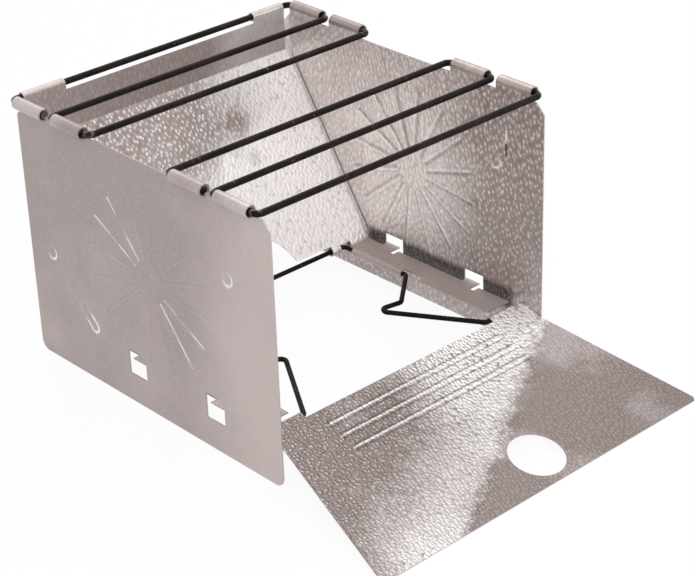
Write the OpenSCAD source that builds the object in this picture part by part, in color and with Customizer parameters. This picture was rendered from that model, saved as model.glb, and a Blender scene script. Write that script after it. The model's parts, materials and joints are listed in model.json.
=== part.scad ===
// Folding camping stove: two side panels, a sloping rear panel, a base wire with shelves and a drop-down door,
// all hanging from two serpentine grate wires. Millimetres, +Z up, floor at z = 0.

/* [Overall] */
// Front-to-back length of the side panels
panel_depth = 185; // [150:1:220]
// Distance between the left and right runs of the grate wires
wire_span = 176; // [150:1:200]
// Height of the grate wires' axis above the floor
grate_z = 136.5; // [110:0.5:160]
// Thickness of every sheet
sheet = 0.6; // [0.4:0.1:1]

/* [Grate wires] */
// Diameter of the grate wire
grate_d = 3.2; // [2.4:0.1:4]
// Bend radius of the grate wire's axis
grate_bend_r = 3.2; // [2.5:0.1:6]
// Distance between two neighbouring bars of one wire
bar_pitch = 30.5; // [24:0.5:36]
// Rearmost bar of the rear wire
rear_bar_y = 91.8; // [80:0.1:100]
// Rearmost bar of the front wire
front_bar_y = -26.5; // [-40:0.5:0]
// Length of each wire's free tail
tail_l = 26; // [15:0.5:29]

/* [Side panels] */
// Inner radius of the loose curls round the grate wires
side_curl_r = 2.5; // [2:0.1:4]
// Length of one curl along the wire
side_curl_l = 22; // [14:0.5:26]
// Turn of the curl
side_curl_turn = 290; // [200:5:310]
// Gap between the panel's upper edge and the grate wires' axis
top_edge_drop = 3; // [2.5:0.1:6]
// Chamfer of the upper corners
top_chamfer = 5; // [0:0.5:12]
// Radius of the lower corners
low_corner_r = 5; // [1:0.5:15]
// Size of the square windows
window_size = 13; // [8:0.5:20]
// Height of the windows' lower edge
window_z = 15.5; // [8:0.5:30]
// Front edge of the rear window
rear_window_y = 5; // [-10:0.5:30]
// Front edge of the front window
front_window_y = -53; // [-70:0.5:-30]

/* [Pressed relief] */
// Centre of the radial flutes, from the middle of the panel
flute_centre_y = -3; // [-30:1:30]
// Height of the centre of the radial flutes
flute_centre_z = 72; // [50:1:90]
// Number of radial flutes
flute_count = 16; // [6:1:18]
// Angle of the first flute
flute_first = 6; // [0:1:60]
// Inner radius of the ring of flutes
flute_from = 11; // [8:0.5:20]
// Outer radius of the ring of flutes
flute_to = 45; // [30:1:55]
// Radius of the flute's raised inner side
flute_r = 3; // [1.5:0.1:4]
// Height of the flute
flute_h = 0.5; // [0.2:0.05:0.55]
// Radius of the round dimples' raised side
dimple_r = 10; // [5:0.5:14]
// Height of the dimples
dimple_h = 0.55; // [0.2:0.05:0.6]
// Length of the long dimple
long_dimple_l = 18; // [8:1:24]

/* [Rear panel] */
// Half the width of the rear panel
rear_half_w = 82.5; // [70:0.5:84]
// Inner radius of the curls round the rearmost bar
rear_curl_r = 1.7; // [1.65:0.05:3]
// Length of the left curl
rear_curl_left_l = 24.5; // [12:0.5:30]
// Length of the right curl
rear_curl_right_l = 20.5; // [12:0.5:30]
// Upper edge of the rear panel between its curls
rear_top_drop = 3; // [2.5:0.1:6]
// Height of the bend above the floor
rear_bend_z = 113.5; // [100:0.5:125]
// Radius of the lower curls round the base wire
foot_curl_r = 1.9; // [1.3:0.1:3]
// Distance of the lower curl's inner end from the middle
foot_curl_x = 58; // [45:0.5:60]
// Length of the lower curls
foot_curl_l = 5.6; // [4:0.2:8]
// Inner end of the rolled edge outside the base wire
foot_roll_x = 71; // [70:0.5:76]
// Lower edge of the panel above the tangent point of the curl
foot_edge = 2.7; // [1.5:0.1:6]
// Radius of the arch at the bottom
arch_r = 36.2; // [25:0.2:45]
// Centre of the arch below the tangent point of the curl
arch_drop = 8.2; // [0:0.2:20]

/* [Base wire] */
// Diameter of the base wire
base_d = 2.5; // [2:0.1:3.2]
// Height of the base wire's axis
base_z = 22; // [15:0.5:30]
// Rear run of the base wire
base_rear_y = 32; // [20:0.5:45]
// Side runs of the base wire, from the middle
base_side_x = 67.5; // [60:0.5:72]
// Front end of the straight side runs
side_run_y = -15; // [-25:0.5:0]
// Knee of the spring bend
knee_x = 45.5; // [40:0.5:55]
// Knee of the spring bend
knee_y = -34; // [-40:0.5:-28]
// Point of the spring bend
turn_x = 30; // [22:0.5:40]
// Point of the spring bend
turn_y = -31; // [-36:0.5:-20]
// Where the spring leg meets the hinge end
leg_x = 60; // [50:0.5:64]
// Line of the door hinge
hinge_y = -79; // [-86:0.5:-70]
// Ends of the hinge pins, from the middle
pin_x = 78; // [70:0.5:80]
// Bend radius of the base wire's axis
base_bend_r = 3; // [2:0.1:6]
// Part of the spring leg that belongs to the base wire
leg_from = 9; // [8:0.5:15]
// Part of the leg that belongs to the hinge end
leg_to = 4; // [3:0.5:10]

/* [Shelves] */
// Inner radius of the shelf's curl round the side run
shelf_curl_r = 1.35; // [1.3:0.05:2]
// Front end of the shelf
shelf_front_y = -74.5; // [-76:0.5:-60]
// Rear end of the shelf
shelf_rear_y = 27; // [15:0.5:28]
// Front end of the shelf's curl
shelf_curl_front_y = -12.5; // [-12.5:0.5:0]
// Rear end of the shelf's curl
shelf_curl_rear_y = 24; // [10:0.5:27]
// Outer edge of the shelf, from the middle
shelf_out_x = 80.8; // [76:0.2:83]
// End of the shelf's tabs, from the middle
tab_end_x = 84.6; // [82:0.1:84.7]
// Width of a tab
tab_w = 9; // [5:0.5:12]
// Width of the notch at the front side of a tab
notch_w = 3; // [1:0.5:6]
// Depth of the notch
notch_deep = 4; // [1:0.5:8]
// Set-back of the inner edge where the wire leaves the shelf
relief_x = 69.3; // [68:0.1:72]
// Length of that set-back
relief_l = 11; // [8:0.5:20]

/* [Door] */
// Length of the door from its hinge
door_l = 99.5; // [85:0.5:110]
// Half the width of the door at its front edge
door_front_half_w = 103.7; // [95:0.1:106]
// Half the width of the door between the side panels
door_rear_half_w = 84.6; // [80:0.1:84.7]
// Where the flare begins, from the hinge
flare_from = 13.9; // [13:0.1:20]
// Inner radius of the hinge curls
door_curl_r = 1.35; // [1.3:0.05:2]
// Inner end of a hinge curl, from the middle
door_curl_x = 62; // [61.5:0.5:66]
// Length of a hinge curl
door_curl_l = 16.5; // [8:0.5:18]
// Rear edge between the curls, from the hinge
door_rear_edge = 3; // [2:0.2:6]
// Middle of the finger hole, from the middle plane
hole_x = 9.5; // [-40:0.5:40]
// Middle of the finger hole, from the front edge
hole_inset = 17.5; // [16:0.5:40]
// Radius of the finger hole
hole_r = 13.8; // [8:0.2:15]
// First plain rib, from the hinge
rib_s = 13; // [8:0.5:30]
// Distance between the plain ribs
rib_pitch = 9; // [6:0.5:20]
// Number of plain ribs
rib_count = 3; // [1:1:5]
// Half the length of the plain ribs
rib_half_l = 56; // [20:1:70]
// Radius of the rounded corners
door_corner_r = 2; // [1:0.5:6]

/* [Hidden] */
$fn = 64;
spare = 1; // what a cutter reaches past the part
bend_lap = 0.3; // what a straight run reaches into a bend
bend_swell = 0.05; // bends are this much thicker
right_angle = 90;
half_turn = 180;
full_turn = 360;
foot_curl_turn = 250;
rear_curl_turn = 280;
shelf_curl_turn = 255;
door_curl_turn = 240;
ear_r = 1.2; // rounded end of the door's ears
ear_root_x = 80.5; // bottom of the notch between a curl and an ear
rib_end_step = 0.04; // the round end of a rib is this much lower than the rib
lip_edge = 1.4; // lower edge of the rear panel beside its curls

grate_x = wire_span / 2;
half_depth = panel_depth / 2;
wall_in = grate_x - side_curl_r - sheet;
wall_top = grate_z - top_edge_drop;
// curls of a side panel, from the bars of the two wires
bar_clear = 4.3;
curl_starts = [front_bar_y - bar_pitch * 2 + bar_clear, front_bar_y - bar_pitch + bar_clear,
    rear_bar_y - bar_pitch * 2 + bar_clear, rear_bar_y - bar_pitch + bar_clear];
rear_sheet_y = rear_bar_y - rear_curl_r - sheet;
foot_mid_r = foot_curl_r + sheet / 2;
// slope of the rear panel's lower part, from vertical
rear_run = rear_sheet_y + sheet / 2 - base_rear_y;
rear_rise = rear_bend_z - base_z;
rear_slope = atan2(rear_run, rear_rise) + asin(foot_mid_r / norm([rear_run, rear_rise]));
slope_l = sqrt(rear_run * rear_run + rear_rise * rear_rise - foot_mid_r * foot_mid_r);
leg_u = [leg_x - turn_x, hinge_y - turn_y] / norm([leg_x - turn_x, hinge_y - turn_y]);
leg_start = [turn_x, turn_y] + leg_u * leg_from;
leg_stop = [leg_x, hinge_y] - leg_u * leg_to;
door_tilt = asin(base_z / norm([door_l, door_curl_r])) + atan2(door_curl_r, door_l);
groove_r = flute_r - sheet;
// the whole stove is moved along Y so that its box is centred on the origin
front_end_y = hinge_y - door_l * cos(door_tilt) - (door_curl_r + sheet) * sin(door_tilt);
rear_end_y = rear_bar_y + rear_curl_r + sheet;
centre_y = (front_end_y + rear_end_y) / 2;
shelf_in_x = base_side_x - shelf_curl_r - sheet;
tab_starts = [rear_window_y + (window_size - tab_w) / 2, front_window_y + (window_size - tab_w) / 2];
dimple_in_r = dimple_r - sheet;

function unit(v) = v / norm(v);
function inner_angle(a, p, b) = acos(unit(a - p) * unit(b - p));
function tangent_l(pts, i, r) = r / tan(inner_angle(pts[i - 1], pts[i], pts[i + 1]) / 2);
function heading(v) = atan2(v[1], v[0]);
function turn_of(a, b) = let (d = b - a) d > half_turn ? d - full_turn : d < -half_turn ? d + full_turn : d;

// a round wire along a path of points in a level plane, with round bends
module wire(pts, r, d) {
    for (i = [0 : len(pts) - 2]) {
        u = unit(pts[i + 1] - pts[i]);
        a = pts[i] + u * (i == 0 ? 0 : tangent_l(pts, i, r) - bend_lap);
        b = pts[i + 1] - u * (i == len(pts) - 2 ? 0 : tangent_l(pts, i + 1, r) - bend_lap);
        translate([a[0], a[1], 0]) rotate([0, right_angle, heading(u)]) cylinder(d = d, h = norm(b - a));
    }
    for (i = [1 : len(pts) - 2]) bend(pts[i - 1], pts[i], pts[i + 1], r, d);
}

module bend(a, p, b, r, d) {
    u = unit(a - p);
    v = unit(b - p);
    c = p + unit(u + v) * r / sin(inner_angle(a, p, b) / 2);
    from = heading(p + u * r / tan(inner_angle(a, p, b) / 2) - c);
    to = heading(p + v * r / tan(inner_angle(a, p, b) / 2) - c);
    sweep = turn_of(from, to);
    translate([c[0], c[1], 0]) rotate([0, 0, sweep > 0 ? from : to])
        rotate_extrude(angle = abs(sweep)) translate([r, 0]) circle(d = d + bend_swell);
}

// a rolled sheet round an axis along +X, from one angle on, measured from +Y towards +Z
module curl_x(r, l, from, turn) {
    rotate([right_angle, 0, right_angle]) rotate([0, 0, from])
        rotate_extrude(angle = turn) translate([r, 0]) square([sheet, l]);
}

// a rolled sheet round an axis along +Y, from one angle on, measured from +X towards +Z
module curl_y(r, l, from, turn) {
    translate([0, l, 0]) rotate([right_angle, 0, 0]) rotate([0, 0, from])
        rotate_extrude(angle = turn) translate([r, 0]) square([sheet, l]);
}

// one corner cutter: material in the positive quadrant, corner in the origin
module corner_bite(r) {
    difference() {
        translate([-spare, -spare]) square(r + spare);
        translate([r, r]) circle(r);
    }
}

// a long pressed rib along +X on a sheet whose upper face is z = 0; part is "bump" or "hollow"
module rib(l, part) {
    translate([0, 0, flute_h - flute_r]) rotate([0, right_angle, 0]) {
        cylinder(r = part == "bump" ? flute_r : groove_r, h = l);
        for (z = [0, l]) translate([0, 0, z]) sphere(r = (part == "bump" ? flute_r : groove_r) - rib_end_step, $fn = 28);
    }
}

module dimple(part) {
    translate([0, 0, dimple_h - dimple_r]) sphere(r = part == "bump" ? dimple_r : dimple_in_r);
}

module grate(y) {
    translate([0, 0, grate_z])
        wire([[-grate_x, y - tail_l], [-grate_x, y], [grate_x, y], [grate_x, y - bar_pitch],
            [-grate_x, y - bar_pitch], [-grate_x, y - bar_pitch * 2], [grate_x, y - bar_pitch * 2],
            [grate_x, y - bar_pitch * 2 + tail_l]], grate_bend_r, grate_d);
}

module grate_rear() {
    color([0.2, 0.17, 0.16]) grate(rear_bar_y);
}

module grate_front() {
    color([0.2, 0.17, 0.16]) grate(front_bar_y);
}

module side_outline() {
    difference() {
        union() {
            translate([-half_depth, 0]) square([panel_depth, wall_top]);
            for (y = curl_starts) translate([y, 0]) square([side_curl_l, grate_z]);
        }
        translate([-half_depth, 0]) corner_bite(low_corner_r);
        translate([half_depth, 0]) mirror([1, 0]) corner_bite(low_corner_r);
        for (m = [0, 1]) mirror([m, 0]) polygon([[half_depth - top_chamfer, wall_top],
            [half_depth + spare, wall_top + spare], [half_depth + spare, wall_top - top_chamfer - spare]]);
        for (y = [rear_window_y, front_window_y]) translate([y, window_z]) square(window_size);
    }
}

// the pressed shapes of a side panel, drawn on the sheet lying flat with its inner face up
module side_relief(part) {
    translate([flute_centre_y, flute_centre_z, 0]) for (i = [0 : flute_count - 1])
        rotate([0, 0, flute_first + i * full_turn / flute_count]) translate([flute_from, 0, 0])
            rib(flute_to - flute_from, part);
    for (p = side_dimples) translate([p[0], p[1], 0]) dimple(part);
    translate([long_dimple[0], long_dimple[1], 0]) rotate([0, 0, long_dimple_tilt]) rib(long_dimple_l, part);
}
side_dimples = [[-61, 95], [75, 60]];
long_dimple = [48.5, 34.5];
long_dimple_tilt = 45;

// the right panel; its sheet is drawn lying flat and stood up
module side_panel() {
    translate([wall_in, 0, 0]) rotate([right_angle, 0, right_angle]) mirror([0, 0, 1]) difference() {
        union() {
            translate([0, 0, -sheet]) linear_extrude(sheet) side_outline();
            intersection() {
                side_relief("bump");
                translate([-half_depth, 0, -sheet]) cube([panel_depth, wall_top, sheet * 3]);
            }
        }
        side_relief("hollow");
    }
    for (y = curl_starts) translate([grate_x, y, grate_z])
        mirror([1, 0, 0]) curl_y(side_curl_r, side_curl_l, 0, side_curl_turn);
}

module right_side_panel() {
    color([0.67, 0.62, 0.6]) side_panel();
}

module left_side_panel() {
    color([0.67, 0.62, 0.6]) mirror([1, 0, 0]) side_panel();
}

// outline of the sloping part, upwards from where the lower curls begin
module slope_outline() {
    difference() {
        translate([-rear_half_w, foot_edge]) square([rear_half_w * 2, slope_l - foot_edge]);
        translate([0, -arch_drop]) circle(arch_r);
    }
    for (m = [0, 1]) mirror([m, 0]) {
        translate([foot_curl_x, 0]) square([foot_curl_l, foot_edge + spare]);
        translate([foot_curl_x + foot_curl_l, lip_edge])
            square([rear_half_w - foot_curl_x - foot_curl_l, foot_edge + spare - lip_edge]);
        translate([foot_roll_x, 0]) square([rear_half_w - foot_roll_x, foot_edge + spare]);
    }
}

module upright_outline() {
    translate([-rear_half_w, rear_bend_z]) square([rear_half_w * 2, grate_z - rear_top_drop - rear_bend_z]);
    translate([-rear_half_w, rear_bend_z]) square([rear_curl_left_l, grate_z - rear_bend_z]);
    translate([rear_half_w - rear_curl_right_l, rear_bend_z]) square([rear_curl_right_l, grate_z - rear_bend_z]);
}

module rear_panel() {
    color([0.74, 0.7, 0.68]) {
        translate([0, rear_sheet_y + sheet, 0]) rotate([right_angle, 0, 0]) linear_extrude(sheet) upright_outline();
        translate([-rear_half_w, rear_sheet_y + sheet / 2, rear_bend_z]) rotate([0, right_angle, 0])
            cylinder(d = sheet + bend_swell, h = rear_half_w * 2);
        translate([-rear_half_w, rear_bar_y, grate_z])
            mirror([0, 1, 0]) curl_x(rear_curl_r, rear_curl_left_l, 0, rear_curl_turn);
        translate([rear_half_w - rear_curl_right_l, rear_bar_y, grate_z])
            mirror([0, 1, 0]) curl_x(rear_curl_r, rear_curl_right_l, 0, rear_curl_turn);
        translate([0, base_rear_y, base_z]) rotate([right_angle - rear_slope, 0, 0]) {
            translate([0, 0, foot_curl_r]) linear_extrude(sheet) slope_outline();
            for (m = [0, 1]) mirror([m, 0, 0]) {
                translate([foot_curl_x, 0, 0]) curl_x(foot_curl_r, foot_curl_l, right_angle, foot_curl_turn);
                translate([foot_roll_x, 0, 0])
                    curl_x(foot_curl_r, rear_half_w - foot_roll_x, right_angle, foot_curl_turn);
            }
        }
    }
}

module base_wire() {
    color([0.22, 0.18, 0.17]) translate([0, 0, base_z])
        wire([[-leg_start[0], leg_start[1]], [-turn_x, turn_y], [-knee_x, knee_y], [-base_side_x, side_run_y],
            [-base_side_x, base_rear_y], [base_side_x, base_rear_y], [base_side_x, side_run_y], [knee_x, knee_y],
            [turn_x, turn_y], leg_start], base_bend_r, base_d);
}

module spring_leg() {
    translate([leg_start[0], leg_start[1], base_z]) rotate([0, right_angle, heading(leg_u)])
        cylinder(d = base_d, h = norm(leg_stop - leg_start));
}

module right_spring_leg() {
    color([0.22, 0.18, 0.17]) spring_leg();
}

module left_spring_leg() {
    color([0.22, 0.18, 0.17]) mirror([1, 0, 0]) spring_leg();
}

module hinge_end() {
    translate([0, 0, base_z]) wire([leg_stop, [leg_x, hinge_y], [pin_x, hinge_y]], base_bend_r, base_d);
}

module right_hinge_end() {
    color([0.22, 0.18, 0.17]) hinge_end();
}

module left_hinge_end() {
    color([0.22, 0.18, 0.17]) mirror([1, 0, 0]) hinge_end();
}

module shelf_outline() {
    difference() {
        union() {
            translate([base_side_x, shelf_curl_front_y])
                square([shelf_out_x - base_side_x, shelf_rear_y - shelf_curl_front_y]);
            translate([relief_x, shelf_front_y])
                square([shelf_out_x - relief_x, shelf_curl_front_y - shelf_front_y]);
            translate([shelf_in_x, shelf_front_y])
                square([shelf_out_x - shelf_in_x, side_run_y - relief_l - shelf_front_y]);
            for (y = tab_starts) translate([shelf_out_x - spare, y]) square([tab_end_x - shelf_out_x + spare, tab_w]);
        }
        for (y = tab_starts) translate([shelf_out_x - notch_deep, y - notch_w]) square([notch_deep + spare, notch_w]);
    }
}

module shelf() {
    translate([0, 0, base_z + shelf_curl_r]) linear_extrude(sheet) shelf_outline();
    translate([base_side_x, shelf_curl_front_y, base_z])
        curl_y(shelf_curl_r, shelf_curl_rear_y - shelf_curl_front_y, right_angle, shelf_curl_turn);
}

module right_shelf() {
    color([0.52, 0.48, 0.46]) shelf();
}

module left_shelf() {
    color([0.52, 0.48, 0.46]) mirror([1, 0, 0]) shelf();
}

// half the door's width at a distance from the hinge
function door_half_w(s) =
    door_rear_half_w + (door_front_half_w - door_rear_half_w) * (s - flare_from) / (door_l - flare_from);

// the door's outline, drawn away from its hinge line
module door_outline() {
    difference() {
        union() {
            polygon([[-door_rear_half_w, door_rear_edge], [door_rear_half_w, door_rear_edge],
                [door_rear_half_w, flare_from], [door_half_w(door_l - door_corner_r), door_l - door_corner_r],
                [door_front_half_w - door_corner_r, door_l], [door_corner_r - door_front_half_w, door_l],
                [-door_half_w(door_l - door_corner_r), door_l - door_corner_r], [-door_rear_half_w, flare_from]]);
            for (m = [0, 1]) mirror([m, 0]) {
                translate([door_curl_x, 0]) square([door_curl_l, door_rear_edge + spare]);
                polygon([[ear_root_x, door_rear_edge + spare], [ear_root_x, door_rear_edge],
                    [door_rear_half_w - ear_r * 2, 0], [door_rear_half_w, 0],
                    [door_rear_half_w, door_rear_edge + spare]]);
                translate([door_rear_half_w - ear_r, 0]) circle(ear_r);
            }
        }
        translate([hole_x, door_l - hole_inset]) circle(hole_r);
    }
}

module door_ribs(part) {
    for (i = [0 : rib_count - 1]) translate([-rib_half_l, rib_s + i * rib_pitch, 0]) rib(rib_half_l * 2, part);
}

module front_door() {
    color([0.74, 0.7, 0.68]) translate([0, hinge_y, base_z]) rotate([door_tilt, 0, 0]) {
        translate([0, 0, door_curl_r + sheet]) mirror([0, 1, 0]) difference() {
            union() {
                translate([0, 0, -sheet]) linear_extrude(sheet) door_outline();
                intersection() {
                    door_ribs("bump");
                    translate([-rib_half_l, 0, -sheet]) cube([rib_half_l * 2, door_l, sheet * 3]);
                }
            }
            door_ribs("hollow");
        }
        for (x = [-door_curl_x - door_curl_l, door_curl_x]) translate([x, 0, 0])
            mirror([0, 1, 0]) curl_x(door_curl_r, door_curl_l, right_angle, door_curl_turn);
    }
}

module centred() {
    translate([0, -centre_y, 0]) children();
}

centred() grate_rear();
centred() grate_front();
centred() left_side_panel();
centred() right_side_panel();
centred() rear_panel();
centred() base_wire();
centred() left_spring_leg();
centred() right_spring_leg();
centred() left_hinge_end();
centred() right_hinge_end();
centred() left_shelf();
centred() right_shelf();
centred() front_door();
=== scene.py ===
import bpy, json, math
from mathutils import Matrix, Vector

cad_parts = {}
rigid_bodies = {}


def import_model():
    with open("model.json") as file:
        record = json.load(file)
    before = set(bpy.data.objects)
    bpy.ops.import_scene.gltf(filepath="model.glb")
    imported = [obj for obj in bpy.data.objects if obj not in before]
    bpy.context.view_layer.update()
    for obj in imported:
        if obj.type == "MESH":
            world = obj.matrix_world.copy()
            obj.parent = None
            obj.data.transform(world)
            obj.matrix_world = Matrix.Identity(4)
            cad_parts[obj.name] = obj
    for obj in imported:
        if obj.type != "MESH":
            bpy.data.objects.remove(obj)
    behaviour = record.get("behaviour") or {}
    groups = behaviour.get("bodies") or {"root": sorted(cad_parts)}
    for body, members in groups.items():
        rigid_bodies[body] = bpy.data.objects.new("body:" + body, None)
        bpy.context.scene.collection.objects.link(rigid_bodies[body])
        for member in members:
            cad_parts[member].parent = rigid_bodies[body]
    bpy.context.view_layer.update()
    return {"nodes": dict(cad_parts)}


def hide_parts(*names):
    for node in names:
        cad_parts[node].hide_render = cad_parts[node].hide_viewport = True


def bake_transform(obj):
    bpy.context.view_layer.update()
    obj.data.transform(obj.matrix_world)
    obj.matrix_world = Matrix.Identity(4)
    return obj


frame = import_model()
nodes = frame["nodes"]
print("stage: frame loaded,", len(nodes), "solids")

mm = 0.001  # sizes are in millimetres, and in metres in the looks, the groups' inputs and the studio
photoWide = 696  # pixels
shiftY = 41.0437  # the side panels' middle in the frame, from which the sizes below count Y
grateX, grateZ = 88, 136.5  # axis of the grate wire in a side panel's curls
wallIn, sheetT, curlR = 84.9, 0.6, 2.5  # a side panel's inner face, the sheet, the inside of the curls
hingeY, baseZ, doorTilt = -79, 22, 13.5501  # the door's hinge, the base wire's axis, the open door's slope
baseRearY, footR, rearSlope = 32, 1.9, 33.44  # the rear panel's foot curls, its slope from the vertical
bendZ, rearSheetY = 113.5, 89.5  # the rear panel's bend, the front face of its upright part
middleTone = 0.5  # of a face that its placing does not shade


def clearSelection():
    if bpy.context.object and bpy.context.object.mode != "OBJECT":
        bpy.ops.object.mode_set(mode="OBJECT")
    for obj in bpy.context.view_layer.objects:
        obj.select_set(False)


def addNode(tree, kind, sockets=(), **settings):
    node = tree.nodes.new(kind)
    for key, value in settings.items():
        setattr(node, key, value)
    for key, value in dict(sockets).items():
        socket = node.inputs[key]
        if isinstance(value, bpy.types.NodeSocket):
            tree.links.new(value, socket)
        else:
            socket.default_value = value
    return node


def calc(tree, operation, a, b=0.0, c=0.0, clamp=False):
    sockets = {0: a, 1: b, 2: c}
    return addNode(tree, "ShaderNodeMath", sockets, operation=operation, use_clamp=clamp).outputs[0]


def product(tree, first, *others):
    for other in others:
        first = calc(tree, "MULTIPLY", first, other)
    return first


def largest(tree, first, *others):
    for other in others:
        first = calc(tree, "MAXIMUM", first, other)
    return first


def weigh(tree, a, shareA, b, shareB):
    return calc(tree, "ADD", calc(tree, "MULTIPLY", a, shareA), calc(tree, "MULTIPLY", b, shareB))


def distance(tree, a, b):
    return calc(tree, "SQRT", calc(tree, "ADD", product(tree, a, a), product(tree, b, b)))


def stretch(tree, value, low, high, outLow=0.0, outHigh=1.0):
    return addNode(tree, "ShaderNodeMapRange", {0: value, 1: low, 2: high, 3: outLow, 4: outHigh},
                   interpolation_type="SMOOTHSTEP").outputs[0]


def fade(tree, value, low, high):
    return stretch(tree, value, low, high, 1.0, 0.0)


def inMiddle(tree, axis, middle):
    # the place along an axis from a middle in millimetres
    return calc(tree, "SUBTRACT", axis, middle * mm)


def ramp(tree, value, low, high, outLow=0.0, outHigh=1.0):
    # stretch with its limits in millimetres, as they are in near and between
    return stretch(tree, value, low * mm, high * mm, outLow, outHigh)


def near(tree, value, middle, inner, outer):
    return ramp(tree, calc(tree, "ABSOLUTE", inMiddle(tree, value, middle)), inner, outer, 1.0, 0.0)


def between(tree, value, start, full, last, end):
    return product(tree, ramp(tree, value, start, full), ramp(tree, value, last, end, 1.0, 0.0))


def noise(tree, vector, scale, detail=2.0, rough=0.5):
    sockets = {"Vector": vector, "Scale": scale, "Detail": detail, "Roughness": rough}
    return addNode(tree, "ShaderNodeTexNoise", sockets).outputs["Fac"]


def mixColour(tree, factor, a, b):
    return addNode(tree, "ShaderNodeMix", {0: factor, 6: a, 7: b}, data_type="RGBA").outputs[2]


def mixValue(tree, factor, a, b):
    return addNode(tree, "ShaderNodeMix", {0: factor, 2: a, 3: b}, data_type="FLOAT").outputs[0]


def newGroup(name, inputs, outputs):
    # an input without a start value is a vector
    tree = bpy.data.node_groups.new(name, "ShaderNodeTree")
    for label, value in inputs.items():
        kind = "NodeSocketVector" if value is None else "NodeSocketFloat"
        socket = tree.interface.new_socket(label, in_out="INPUT", socket_type=kind)
        if value is not None:
            socket.default_value = value
    for label in outputs:
        tree.interface.new_socket(label, in_out="OUTPUT", socket_type="NodeSocketFloat")
    return tree, tree.nodes.new("NodeGroupInput").outputs, tree.nodes.new("NodeGroupOutput")


def giveOut(tree, end, **values):
    for label, value in values.items():
        tree.links.new(value, end.inputs[label])


def useGroup(tree, group, sockets):
    return addNode(tree, "ShaderNodeGroup", sockets, node_tree=group).outputs


# fitted to the photo, with angles in degrees, focal length and centre in pixels and clip in metres
cameraPlan = dict(azimuth=-41.98, elevation=28.24, roll=-1.96, along=(29.33, 30.3, 1042.22),
                  focal=2069.16, centre=(0.3, 1.21), sensor=36, clip=(0.02, 30))


def placeCamera(plan):
    az, el, roll = (math.radians(plan[k]) for k in ("azimuth", "elevation", "roll"))
    back = Vector((math.sin(az) * math.cos(el), -math.cos(az) * math.cos(el), math.sin(el)))
    right = Vector((0, 0, 1)).cross(back).normalized()
    up = back.cross(right)
    c, s = math.cos(roll), math.sin(roll)
    right, up = right * c + up * s, up * c - right * s
    x, y, z = plan["along"]
    spot = (right * x + up * y + back * z + Vector((0, shiftY, 0))) * mm
    bpy.ops.object.camera_add()
    cam = bpy.context.object
    cam.name = "photoCamera"
    cam.matrix_world = Matrix.Translation(spot) @ Matrix((right, up, back)).transposed().to_4x4()
    cam.data.sensor_width = plan["sensor"]
    cam.data.lens = plan["sensor"] * plan["focal"] / photoWide
    cam.data.shift_x = -plan["centre"][0] / photoWide
    cam.data.shift_y = plan["centre"][1] / photoWide
    cam.data.clip_start, cam.data.clip_end = plan["clip"]
    bpy.context.scene.camera = cam


placeCamera(cameraPlan)
print("stage: camera placed")

stuccoPlan = dict(waveScale=240.0, wave=1.6, random=0.72, pebble=(0.08, 0.6), crest=(0.1, 0.42),
                  pit=(0.52, 0.78), fineScale=1100.0, fine=0.25, patchScale=330.0, patch=(0.32, 0.58))


def makeStuccoGroup(plan):
    # small raised pebbles of a stucco-rolled sheet, laid out in the plane of the sheet, with masks for a
    # painted highlight on their crests and painted shade in the hollows between them
    tree, given, end = newGroup("stuccoEmboss", dict(Across=0.0, Along=0.0, Pitch=0.0025, Turn=0.6,
                                                     Stretch=0.6), ("Height", "Crest", "Pit"))
    flat = addNode(tree, "ShaderNodeCombineXYZ", {0: given["Across"], 1: given["Along"]}).outputs[0]
    wave = addNode(tree, "ShaderNodeTexNoise", {"Vector": flat, "Scale": plan["waveScale"]})
    wide = plan["wave"] * mm
    bent = addNode(tree, "ShaderNodeVectorMath", {0: wave.outputs["Color"], 1: (wide, wide, 0)},
                   operation="MULTIPLY").outputs[0]
    moved = addNode(tree, "ShaderNodeVectorMath", {0: flat, 1: bent}, operation="ADD").outputs[0]
    turn = addNode(tree, "ShaderNodeCombineXYZ", {2: given["Turn"]}).outputs[0]
    longer = addNode(tree, "ShaderNodeCombineXYZ", {0: 1.0, 1: given["Stretch"], 2: 1.0}).outputs[0]
    turned = addNode(tree, "ShaderNodeMapping", {"Vector": moved, "Rotation": turn, "Scale": longer})
    cells = {"Vector": turned.outputs[0], "Scale": calc(tree, "DIVIDE", 1.0, given["Pitch"]),
             "Randomness": plan["random"]}
    away = addNode(tree, "ShaderNodeTexVoronoi", cells, voronoi_dimensions="2D", feature="F1")
    away = away.outputs["Distance"]  # from the top of the nearest pebble
    fine = noise(tree, flat, plan["fineScale"])
    strong = stretch(tree, noise(tree, flat, plan["patchScale"]), *plan["patch"])
    height = calc(tree, "MULTIPLY_ADD", fine, plan["fine"], fade(tree, away, *plan["pebble"]))
    giveOut(tree, end, Height=height, Crest=product(tree, fade(tree, away, *plan["crest"]), strong),
            Pit=product(tree, stretch(tree, away, *plan["pit"]), strong))
    return tree


scuffPlan = dict(cloudDetail=6.0, cloudRough=0.6, cloud=(0.32, 0.7), drawnTurn=(0.35, 0.2, 0.5),
                 drawnScale=(1.0, 0.05, 1.0), scratch=(0.66, 0.74), speckScale=1400.0, speckDetail=1.0,
                 speck=(0.45, 0.75))


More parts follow.
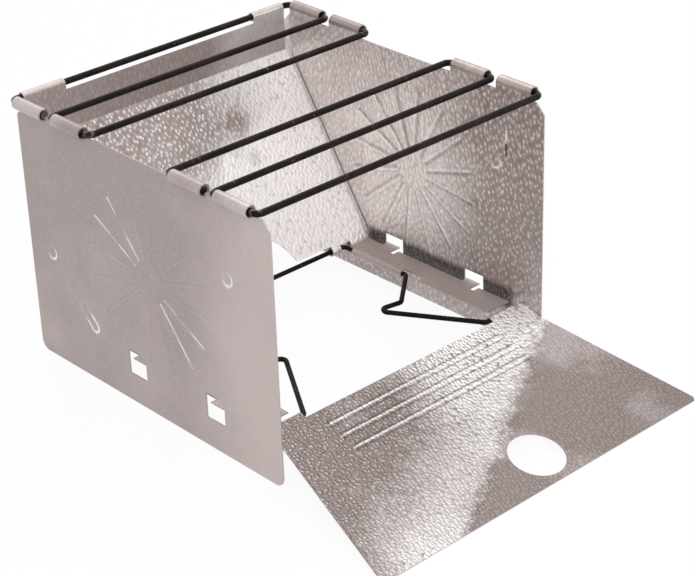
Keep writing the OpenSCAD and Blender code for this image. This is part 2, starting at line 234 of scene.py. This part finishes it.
def makeScuffGroup(plan):
    # cloudy tarnish, fine scratches and grit of a handled sheet
    tree, given, end = newGroup("scuffs", {"Vector": None, "Cloud Scale": 22.0, "Scratch Scale": 260.0},
                                ("Cloud", "Scratch", "Speck"))
    spot = given["Vector"]
    cloud = noise(tree, spot, given["Cloud Scale"], plan["cloudDetail"], plan["cloudRough"])
    drawn = addNode(tree, "ShaderNodeMapping", {"Vector": spot, "Rotation": plan["drawnTurn"],
                                                "Scale": plan["drawnScale"]}).outputs[0]
    lines = noise(tree, drawn, given["Scratch Scale"])
    grit = noise(tree, spot, plan["speckScale"], plan["speckDetail"])
    giveOut(tree, end, Cloud=stretch(tree, cloud, *plan["cloud"]),
            Scratch=stretch(tree, lines, *plan["scratch"]), Speck=stretch(tree, grit, *plan["speck"]))
    return tree


starPlan = dict(line=(0, 0.2, 0.8), foot=(1.6, 0.2, 1.7), crest=(-0.2, 0.2, 1.4), disc=(20, 50),
                patchScale=60.0, patchDetail=3.0, worn=(0.32, 0.55), footPatch=(0.3, 0.6, 0.4, 1.0),
                litPower=12.0, litShare=0.95)


def makeStarGroup(plan):
    # painted highlights on the crests and painted shade at the feet of the pressed rays, the highlights
    # brightest where the rays face the light, from the place relative to their common middle
    tree, given, end = newGroup("rubbedRays", dict(Across=0.0, Along=0.0, Count=16.0, First=0.1,
                                                   From=0.011, To=0.045, Lit=0.7),
                                ("Line", "Disc", "Foot", "Crest"))
    a, b = given["Across"], given["Along"]
    reach, angle = distance(tree, a, b), calc(tree, "ARCTAN2", b, a)
    turn = calc(tree, "SUBTRACT", angle, given["First"])
    sector = calc(tree, "DIVIDE", 2 * math.pi, given["Count"])
    ray = product(tree, calc(tree, "ROUND", calc(tree, "DIVIDE", turn, sector)), sector)
    beside = product(tree, calc(tree, "SUBTRACT", turn, ray), reach)
    inside = product(tree, calc(tree, "GREATER_THAN", reach, given["From"]),
                     calc(tree, "LESS_THAN", reach, given["To"]))
    flat = addNode(tree, "ShaderNodeCombineXYZ", {0: a, 1: b}).outputs[0]
    patch = noise(tree, flat, plan["patchScale"], plan["patchDetail"])
    lit = calc(tree, "ABSOLUTE", calc(tree, "COSINE", calc(tree, "SUBTRACT", angle, given["Lit"])))
    lit = calc(tree, "POWER", lit, plan["litPower"])
    lit = calc(tree, "MULTIPLY_ADD", lit, plan["litShare"], 1 - plan["litShare"])
    # patches that break up the painted highlights and painted shade along the rays
    worn = stretch(tree, patch, *plan["worn"])
    footWorn = stretch(tree, patch, *plan["footPatch"])
    giveOut(tree, end, Line=product(tree, near(tree, beside, *plan["line"]), inside, worn, lit),
            Disc=ramp(tree, reach, *plan["disc"], 1.0, 0.0),
            Foot=product(tree, near(tree, beside, *plan["foot"]), inside, footWorn),
            Crest=product(tree, near(tree, beside, *plan["crest"]), inside, patch))
    return tree


stuccoGroup = makeStuccoGroup(stuccoPlan)
scuffGroup = makeScuffGroup(scuffPlan)
starGroup = makeStarGroup(starPlan)


def newMaterial(name):
    mat = bpy.data.materials.new(name)
    mat.use_nodes = True
    tree = mat.node_tree
    tree.nodes.clear()
    shader = tree.nodes.new("ShaderNodeBsdfPrincipled")
    out = tree.nodes.new("ShaderNodeOutputMaterial")
    tree.links.new(shader.outputs[0], out.inputs[0])
    spot = addNode(tree, "ShaderNodeTexCoord").outputs["Object"]
    axes = addNode(tree, "ShaderNodeSeparateXYZ", {0: spot})
    return mat, tree, shader, spot, axes.outputs


def sheetFinish(look, name, placing):
    # rolled pattern where placing says, as on an inner face, and plain handled metal elsewhere
    mat, tree, shader, spot, axes = newMaterial(name)
    at = placing(tree, spot, axes)
    calm = at.get("calm", 1.0)
    stucco = useGroup(tree, stuccoGroup, {"Across": at["across"], "Along": at["along"],
                                          "Pitch": look["pitch"], "Turn": look["turn"],
                                          "Stretch": look["stretch"]})
    scuff = useGroup(tree, scuffGroup, {"Vector": spot, "Cloud Scale": look["cloudScale"]})
    waver = calc(tree, "MULTIPLY_ADD", scuff["Cloud"], look["cloud"], -look["cloud"] / 2)
    plainTone = calc(tree, "ADD", at.get("plainTone", middleTone), waver, clamp=True)
    plain = mixColour(tree, plainTone, look["plainDark"], look["plainLight"])
    plain = mixColour(tree, product(tree, scuff["Speck"], look["grit"]), plain, look["plainGrit"])
    # painted light and shade of the rolled face: the placing's tone mixes its dark and light colours
    tone = calc(tree, "ADD", at.get("tone", middleTone), waver, clamp=True)
    rolled = mixColour(tree, tone, look["rolledDark"], look["rolledLight"])
    # painted highlight on the pebble crests
    crest = product(tree, stucco["Crest"], mixValue(tree, tone, look["crest"], look["crestLight"]), calm)
    rolled = mixColour(tree, crest, rolled, look["crestColour"])
    # painted shade in the hollows between the pebbles
    pit = product(tree, stucco["Pit"], look["pit"], at.get("pitCalm", calm))
    rolled = mixColour(tree, pit, rolled, look["pitColour"])
    # painted shade in gaps, along the seam and at the feet of ridges
    if "grime" in at:
        rolled = mixColour(tree, at["grime"], rolled, look["grimeColour"])
    colour = mixColour(tree, at["rolled"], plain, rolled)
    # painted highlights on ridges, rims and rays
    if "line" in at:
        colour = mixColour(tree, product(tree, at["line"], look["line"]), colour, look["lineColour"])
    rough = mixValue(tree, at["rolled"], look["rough"], look["rolledRough"])
    tree.links.new(colour, shader.inputs["Base Color"])
    tree.links.new(rough, shader.inputs["Roughness"])
    shader.inputs["Metallic"].default_value = look["metal"]
    relief = product(tree, stucco["Height"], at["rolled"], calm)
    bump = addNode(tree, "ShaderNodeBump", {"Height": relief, "Distance": look["relief"],
                                            "Strength": look["strength"]})
    small = addNode(tree, "ShaderNodeBump", {"Height": scuff["Scratch"], "Distance": look["scratchRelief"],
                                             "Strength": look["scratchStrength"],
                                             "Normal": bump.outputs[0]})
    tree.links.new(small.outputs[0], shader.inputs["Normal"])
    return mat


def paint(names, mat):
    for name in names:
        obj = nodes[name]
        if not obj.data.materials:
            obj.data.materials.append(mat)
        for slot in obj.material_slots:
            slot.material = mat


ringPlan = dict(core=0.1, lit=0.9, dim=0.1)


def ring(tree, a, b, middleA, middleB, inner, outer, half, turn):
    # painted highlight: a soft ring round a spot or round a short stroke of the sheet, brighter at its low
    # front side
    c, s = math.cos(math.radians(turn)), math.sin(math.radians(turn))
    pa, pb = inMiddle(tree, a, middleA), inMiddle(tree, b, middleB)
    along = calc(tree, "ABSOLUTE", weigh(tree, pa, c, pb, s))
    along = largest(tree, inMiddle(tree, along, half), 0.0)
    reach = distance(tree, along, weigh(tree, pa, -s, pb, c))
    wide, lit = outer - inner, outer * ringPlan["lit"]
    rim = near(tree, reach, (inner + outer) / 2, wide * ringPlan["core"], wide / 2)
    return product(tree, rim, ramp(tree, calc(tree, "ADD", pa, pb), lit, -lit, ringPlan["dim"], 1.0))


sideLook = dict(turn=0.5, stretch=0.62, pitch=0.0023, cloudScale=16.0, cloud=0.5, grit=0.35,
                plainDark=(0.4, 0.34, 0.325, 1), plainLight=(0.58, 0.5, 0.485, 1),
                plainGrit=(0.66, 0.6, 0.58, 1), rolledDark=(0.36, 0.295, 0.28, 1),
                rolledLight=(0.8, 0.73, 0.71, 1), crest=0.54, crestLight=0.42,
                crestColour=(1, 0.98, 0.96, 1), pit=0.3, pitColour=(0.14, 0.11, 0.1, 1),
                grimeColour=(0.06, 0.045, 0.04, 1), line=1.0, lineColour=(1, 0.98, 0.96, 1), rough=0.55,
                rolledRough=0.38, metal=0.6, relief=0.0004, strength=0.7, scratchRelief=0.00002,
                scratchStrength=0.5)
sidePlan = dict(faceGap=0.05, curlGap=0.1, star=(-3, 72), foot=0.36, crest=0.75,
                rays=dict(Count=16, First=math.radians(6), From=0.011, To=0.045), back=(-72, -5),
                backShare=0.75, discShare=0.35, low=(15, 45), lowShare=0.5, curlTone=0.2, curlCalm=0.85,
                sootZ=(14, 19, 26, 31), sootY=(-78, -70, 28, 34), sootScale=650.0, sootDetail=4.0,
                sootPatch=(0.2, 0.5, 0.6, 1.0), seam=0.75, seamAt=0.4, seamWide=(0.4, 1.0),
                seamEnds=(2, 4), slot=(-68.3, 0.45, 0.9), slotDark=(103, 2.5, 4),
                slotLight=(110.5, 2.5, 4), slotShare=0.9, crinkleScale=2300.0, crinkle=(0.35, 0.55),
                dents=[(-61, 95, 2.2, 4.4, 0, 0), (75, 60, 2.2, 4.4, 0, 0), (48.5, 34.5, 1.6, 4, 6, 45)],
                front=(-20, -85), fall=(110, 20, 0.0, 0.25))


def wallSeam(tree, y, z, plan):
    # painted shade: the dark line in the gap where the rear panel's slope meets a side panel
    slope = math.radians(rearSlope)
    behind, over = inMiddle(tree, y, baseRearY), inMiddle(tree, z, baseZ)
    ahead = weigh(tree, behind, -math.cos(slope), over, math.sin(slope))
    below, above = plan["seamEnds"]
    return product(tree, near(tree, ahead, footR + sheetT + plan["seamAt"], *plan["seamWide"]),
                   between(tree, z, baseZ - below, baseZ, bendZ - above, bendZ), plan["seam"])


def sidePlacing(tree, spot, axes):
    plan = sidePlan
    y, z = inMiddle(tree, axes[1], shiftY), axes[2]
    across = calc(tree, "ABSOLUTE", axes[0])
    flat = calc(tree, "LESS_THAN", across, (wallIn + plan["faceGap"]) * mm)
    fromWire = distance(tree, inMiddle(tree, across, grateX), inMiddle(tree, z, grateZ))
    curl = product(tree, calc(tree, "GREATER_THAN", fromWire, (curlR + sheetT / 2) * mm),
                   calc(tree, "LESS_THAN", fromWire, (curlR + sheetT + plan["curlGap"]) * mm))
    starY, starZ = plan["star"]
    star = useGroup(tree, starGroup, dict(Across=inMiddle(tree, y, starY),
                                          Along=inMiddle(tree, z, starZ), **plan["rays"]))
    # painted light: the rolled face is lighter towards the rear and round the star, darker low down
    tone = weigh(tree, star["Disc"], plan["discShare"], ramp(tree, y, *plan["back"]), plan["backShare"])
    low = ramp(tree, z, *plan["low"])
    low = calc(tree, "MULTIPLY_ADD", low, plan["lowShare"], 1 - plan["lowShare"])
    tone = mixValue(tree, curl, calc(tree, "MULTIPLY", tone, low, clamp=True), plan["curlTone"])
    # painted shade in a broken band on the wall, in the gap between the shelf and the wall
    soot = noise(tree, spot, plan["sootScale"], plan["sootDetail"])
    soot = product(tree, between(tree, z, *plan["sootZ"]), between(tree, y, *plan["sootY"]),
                   stretch(tree, soot, *plan["sootPatch"]))
    # a painted slot mark: painted shade on its lower half, painted highlight on its upper half
    slot = calc(tree, "GREATER_THAN", axes[0], 0.0)  # on the right panel only
    slot = product(tree, near(tree, y, *plan["slot"]), slot)
    slotDark = product(tree, slot, near(tree, z, *plan["slotDark"]), plan["slotShare"])
    slotLight = product(tree, slot, near(tree, z, *plan["slotLight"]))
    # painted highlights on the rays' crests, the slot mark and the dents' rims, broken up by the crinkle
    rims = product(tree, largest(tree, slotLight, product(tree, star["Crest"], plan["crest"])), flat)
    rims = largest(tree, rims, *[ring(tree, y, z, *dent) for dent in plan["dents"]])
    crinkle = stretch(tree, noise(tree, spot, plan["crinkleScale"]), *plan["crinkle"])
    # painted shade in the gap by the shelf, at the rays' feet, along the seam and under the slot mark
    grime = largest(tree, soot, product(tree, star["Foot"], plan["foot"]), wallSeam(tree, y, z, plan),
                    slotDark)
    plainTone = calc(tree, "ADD", ramp(tree, y, *plan["front"]), ramp(tree, z, *plan["fall"]))
    return dict(across=y, along=z, rolled=largest(tree, flat, curl), tone=tone, grime=grime,
                line=largest(tree, star["Line"], product(tree, rims, crinkle)), plainTone=plainTone,
                calm=calc(tree, "MULTIPLY_ADD", curl, -plan["curlCalm"], 1.0))


paint(("left_side_panel", "right_side_panel"), sheetFinish(sideLook, "sidePanelSheet", sidePlacing))
print("stage: side panels finished")

rearLook = dict(sideLook, turn=2.5, stretch=0.6, pitch=0.0021, rolledDark=(0.36, 0.3, 0.288, 1),
                rolledLight=(1, 0.98, 0.97, 1), cloud=0.3, crest=0.68, crestLight=0.4, pit=0.4)
rearPlan = dict(rakeFrom=70, rake=1.8, rakeTo=40, right=(-30, 28), farRight=(20, 60), farShare=0.5,
                farLow=-0.12, stainCore=0.2, blotScale=220.0, blotDetail=3.0, blot=8, slopeCalm=0.5,
                uprightCalm=0.22, uprightPit=0.4,
                stains=[(35, 90, 10, -0.5), (36.6, 73.5, 6, -0.4), (50, 77, 8, 0.3), (20, 74, 8, 0.45)])


def rearPlacing(tree, spot, axes):
    plan = rearPlan
    x, turn = axes[0], math.radians(rearSlope)
    y, z = inMiddle(tree, axes[1], baseRearY + shiftY), inMiddle(tree, axes[2], baseZ)
    out = weigh(tree, y, -math.cos(turn), z, math.sin(turn))
    rise = weigh(tree, y, math.sin(turn), z, math.cos(turn))
    slope = calc(tree, "GREATER_THAN", out, (footR + sheetT / 2) * mm)
    upright = calc(tree, "LESS_THAN", axes[1], (rearSheetY + sheetT / 2 + shiftY) * mm)
    high = calc(tree, "GREATER_THAN", axes[2], bendZ * mm)
    # painted reflection: the slope is lighter towards the right, its edge shifting right higher up
    rake = largest(tree, product(tree, inMiddle(tree, axes[2], plan["rakeFrom"]), plan["rake"]), 0.0)
    rake = calc(tree, "MINIMUM", rake, plan["rakeTo"] * mm)
    right = ramp(tree, calc(tree, "SUBTRACT", x, rake), *plan["right"])
    blot = noise(tree, spot, plan["blotScale"], plan["blotDetail"])
    blot = calc(tree, "MULTIPLY_ADD", blot, plan["blot"] * mm, -plan["blot"] / 2 * mm)
    # lighter and darker blots in the painted reflection
    tone = right
    for middleX, middleZ, size, change in plan["stains"]:
        reach = distance(tree, inMiddle(tree, x, middleX), inMiddle(tree, axes[2], middleZ))
        reach = calc(tree, "ADD", reach, blot)
        stain = ramp(tree, reach, size * plan["stainCore"], size, change, 0.0)
        tone = calc(tree, "ADD", tone, stain)
    # painted shade on the upright part above the bend, a little lighter towards the right
    highTone = ramp(tree, x, *plan["farRight"])
    highTone = calc(tree, "MULTIPLY_ADD", highTone, plan["farShare"], plan["farLow"])
    calm = calc(tree, "MULTIPLY_ADD", right, -plan["slopeCalm"], 1.0)
    return dict(across=x, along=rise, rolled=mixValue(tree, high, slope, upright),
                tone=mixValue(tree, high, tone, highTone),
                calm=mixValue(tree, high, calm, plan["uprightCalm"]),
                pitCalm=mixValue(tree, high, 1.0, plan["uprightPit"]))


paint(("rear_panel",), sheetFinish(rearLook, "rearPanelSheet", rearPlacing))
print("stage: rear panel finished")

doorLook = dict(sideLook, turn=1.2, stretch=0.7, pitch=0.0019, rolledDark=(0.19, 0.15, 0.14, 1),
                rolledLight=(1, 0.97, 0.95, 1), cloud=0.3, crest=0.28, crestLight=0.5, pit=0.85, line=0.5)
doorPlan = dict(inner=1.9, slant=1.62, raggedScale=220.0, raggedDetail=4.0, ragged=30, leanTo=45,
                lean=0.9, left=(-28, 45), right=(96, 118), hingeTone=(15, 65, 0.7, 1.0), forward=(8, 60),
                forwardTone=0.45, calm=(98, 124, 1.0, 0.25))
ribPlan = dict(count=3, first=13, pitch=9, half=56, ends=(0.5, 2), crest=(0.3, 0.9),
               foot=(1.8, 0.2, 0.8), footShare=0.5)


def doorRibs(tree, x, reach, plan):
    # distance from the middle of the nearest rib, and the part of the door that has ribs
    first, pitch = plan["first"], plan["pitch"]
    row = calc(tree, "FLOORED_MODULO", inMiddle(tree, reach, first - pitch / 2), pitch * mm)
    row = calc(tree, "ABSOLUTE", inMiddle(tree, row, pitch / 2))
    middle = first + pitch * (plan["count"] - 1) / 2
    rows = calc(tree, "ABSOLUTE", inMiddle(tree, reach, middle))
    rows = calc(tree, "LESS_THAN", rows, pitch * plan["count"] / 2 * mm)
    return row, product(tree, rows, near(tree, x, 0, *[plan["half"] + end for end in plan["ends"]]))


def doorPlacing(tree, spot, axes):
    plan = doorPlan
    x, turn = axes[0], math.radians(doorTilt)
    y, z = inMiddle(tree, axes[1], hingeY + shiftY), inMiddle(tree, axes[2], baseZ)
    out = weigh(tree, y, -math.sin(turn), z, math.cos(turn))
    reach = weigh(tree, y, -math.cos(turn), z, -math.sin(turn))
    inner = calc(tree, "GREATER_THAN", out, plan["inner"] * mm)
    # painted reflection: a light slanted band with ragged edges, lighter near the hinge on the right and
    # fainter further forward
    ragged = noise(tree, spot, plan["raggedScale"], plan["raggedDetail"])
    ragged = calc(tree, "MULTIPLY_ADD", ragged, plan["ragged"] * mm, -plan["ragged"] / 2 * mm)
    slant = calc(tree, "ADD", calc(tree, "MULTIPLY_ADD", reach, plan["slant"], x), ragged)
    lean = product(tree, calc(tree, "MINIMUM", reach, plan["leanTo"] * mm), plan["lean"])
    left = ramp(tree, calc(tree, "SUBTRACT", slant, lean), *plan["left"])
    right = ramp(tree, slant, *plan["right"], 1.0, 0.0)
    forward = mixValue(tree, ramp(tree, reach, *plan["forward"]), ramp(tree, x, *plan["hingeTone"]),
                       plan["forwardTone"])
    row, ribbed = doorRibs(tree, x, reach, ribPlan)
    # painted highlight on the ribs' crests and painted shade at their feet
    crest = ramp(tree, row, *ribPlan["crest"], 1.0, 0.0)
    foot = near(tree, row, *ribPlan["foot"])
    return dict(across=x, along=reach, rolled=inner, tone=product(tree, left, right, forward),
                calm=ramp(tree, slant, *plan["calm"]), line=product(tree, crest, ribbed, inner),
                grime=product(tree, foot, ribbed, ribPlan["footShare"]))


paint(("front_door",), sheetFinish(doorLook, "doorSheet", doorPlacing))
print("stage: door finished")

shelfLook = dict(sideLook, plainDark=(0.33, 0.27, 0.258, 1), plainLight=(0.5, 0.43, 0.415, 1))


def shelfPlacing(tree, spot, axes):
    return dict(across=axes[1], along=axes[0], rolled=0.0)


paint(("left_shelf", "right_shelf"), sheetFinish(shelfLook, "shelfSheet", shelfPlacing))
print("stage: shelves finished")

wireLook = dict(dark=(0.0045, 0.0025, 0.002, 1), brown=(0.017, 0.0105, 0.0088, 1),
                worn=(0.24, 0.2, 0.185, 1), cloudScale=60.0, scratchScale=500.0, patchScale=240.0,
                patchDetail=3.0, patch=(0.48, 0.66), wearLength=4, scratchShare=0.35, wornShare=0.8,
                rough=0.45, wornRough=0.25, metal=0.4, gloss=0.14, relief=0.00008, strength=0.4)


def wireFinish(look, name, wearFrom):
    # dark wire, rubbed bright towards its sides, where the curls turn on it
    mat, tree, shader, spot, axes = newMaterial(name)
    scuff = useGroup(tree, scuffGroup, {"Vector": spot, "Cloud Scale": look["cloudScale"],
                                        "Scratch Scale": look["scratchScale"]})
    base = mixColour(tree, scuff["Cloud"], look["dark"], look["brown"])
    ends = ramp(tree, calc(tree, "ABSOLUTE", axes[0]), wearFrom, wearFrom + look["wearLength"])
    patch = noise(tree, spot, look["patchScale"], look["patchDetail"])
    rub = largest(tree, product(tree, ends, stretch(tree, patch, *look["patch"])),
                  product(tree, scuff["Scratch"], look["scratchShare"]))
    colour = mixColour(tree, product(tree, rub, look["wornShare"]), base, look["worn"])
    rough = mixValue(tree, rub, look["rough"], look["wornRough"])
    tree.links.new(colour, shader.inputs["Base Color"])
    tree.links.new(rough, shader.inputs["Roughness"])
    shader.inputs["Metallic"].default_value = look["metal"]
    shader.inputs["Specular IOR Level"].default_value = look["gloss"]
    bump = addNode(tree, "ShaderNodeBump", {"Height": patch, "Distance": look["relief"],
                                            "Strength": look["strength"]})
    tree.links.new(bump.outputs[0], shader.inputs["Normal"])
    return mat


grateFinish = wireFinish(wireLook, "grateWire", wearFrom=84)
baseFinish = wireFinish(wireLook, "baseWire", wearFrom=70)
paint(("grate_rear", "grate_front"), grateFinish)
paint(("base_wire", "left_hinge_end", "right_hinge_end"), baseFinish)

legPlan = dict(turn=(30, -31), hinge=(60, -79), first=9, last=4, radius=1.25, sides=28, steps=18,
               smooth=40)


def makeSpringLeg(name, node, side, plan):
    # the straight run of a spring leg, in steps, between the base and the hinge end
    turn = Vector((plan["turn"][0] * side, plan["turn"][1] + shiftY, baseZ)) * mm
    hinge = Vector((plan["hinge"][0] * side, plan["hinge"][1] + shiftY, baseZ)) * mm
    way = (hinge - turn).normalized()
    a, b = turn + way * plan["first"] * mm, hinge - way * plan["last"] * mm
    clearSelection()
    bpy.ops.mesh.primitive_circle_add(vertices=plan["sides"], radius=plan["radius"] * mm,
                                      fill_type="NGON", location=a,
                                      rotation=way.to_track_quat("Z", "Y").to_euler())
    leg = bpy.context.object
    leg.name = name
    bpy.ops.object.transform_apply(location=True, rotation=True, scale=True)
    bpy.ops.object.mode_set(mode="EDIT")
    bpy.ops.mesh.select_all(action="SELECT")
    for i in range(plan["steps"]):
        bpy.ops.mesh.extrude_region_move(TRANSFORM_OT_translate={"value": (b - a) / plan["steps"]})
    bpy.ops.mesh.select_all(action="SELECT")
    bpy.ops.mesh.normals_make_consistent(inside=False)
    bpy.ops.object.mode_set(mode="OBJECT")
    bpy.ops.object.shade_smooth_by_angle(angle=math.radians(plan["smooth"]))
    leg.data.materials.append(baseFinish)
    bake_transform(leg)
    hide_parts(node)
    clearSelection()


makeSpringLeg("leftSpringLeg", "left_spring_leg", -1, legPlan)
makeSpringLeg("rightSpringLeg", "right_spring_leg", 1, legPlan)
print("stage: wires finished")

studioPlan = dict(floorSize=8.0, floorDrop=0.0002, floorPaint=(0.9, 0.9, 0.9, 1), glow=0.93,
                  worldFill=0.55, white=1.0, aim=(0, 0, 0.05),
                  lamps=[("keyLamp", (-0.5, -0.9, 1.1), 0.9, 9.0),
                         ("topLamp", (0.5, 0.5, 1.3), 1.0, 8.0),
                         ("sideLamp", (1.2, -0.7, 0.5), 0.7, 4.0)])


def whiteToEye(tree, plain, white):
    # the white surround is what the camera and reflections see
    path = addNode(tree, "ShaderNodeLightPath").outputs
    seen = largest(tree, path["Is Camera Ray"], path["Is Glossy Ray"], path["Is Transmission Ray"])
    return addNode(tree, "ShaderNodeMixShader", {0: seen, 1: plain, 2: white}).outputs[0]


def backdrop(tree, strength):
    return addNode(tree, "ShaderNodeBackground", {"Color": (1, 1, 1, 1), "Strength": strength}).outputs[0]


def makeStudio(plan):
    clearSelection()
    bpy.ops.mesh.primitive_plane_add(size=plan["floorSize"], location=(0, 0, -plan["floorDrop"]))
    floor = bpy.context.object
    floor.name = "studioFloor"
    mat = bpy.data.materials.new("floorPaint")
    mat.use_nodes = True
    tree = mat.node_tree
    tree.nodes.clear()
    plain = addNode(tree, "ShaderNodeBsdfDiffuse", {"Color": plan["floorPaint"]}).outputs[0]
    glow = addNode(tree, "ShaderNodeEmission", {"Color": (1, 1, 1, 1), "Strength": plan["white"]})
    shade = addNode(tree, "ShaderNodeMixShader", {0: plan["glow"], 1: plain, 2: glow.outputs[0]})
    out = tree.nodes.new("ShaderNodeOutputMaterial")
    tree.links.new(whiteToEye(tree, plain, shade.outputs[0]), out.inputs[0])
    floor.data.materials.append(mat)
    world = bpy.data.worlds.new("studioWorld")
    bpy.context.scene.world = world
    world.use_nodes = True
    tree = world.node_tree
    tree.nodes.clear()
    fill, white = backdrop(tree, plan["worldFill"]), backdrop(tree, plan["white"])
    out = tree.nodes.new("ShaderNodeOutputWorld")
    tree.links.new(whiteToEye(tree, fill, white), out.inputs[0])
    for name, spot, size, power in plan["lamps"]:
        bpy.ops.object.light_add(type="AREA", location=spot)
        lamp = bpy.context.object
        lamp.name = name
        lamp.data.size = size
        lamp.data.energy = power
        lamp.rotation_euler = (Vector(spot) - Vector(plan["aim"])).to_track_quat("Z", "Y").to_euler()
    bpy.context.scene.view_settings.view_transform = "Standard"


makeStudio(studioPlan)
clearSelection()
print("stage: studio lit")
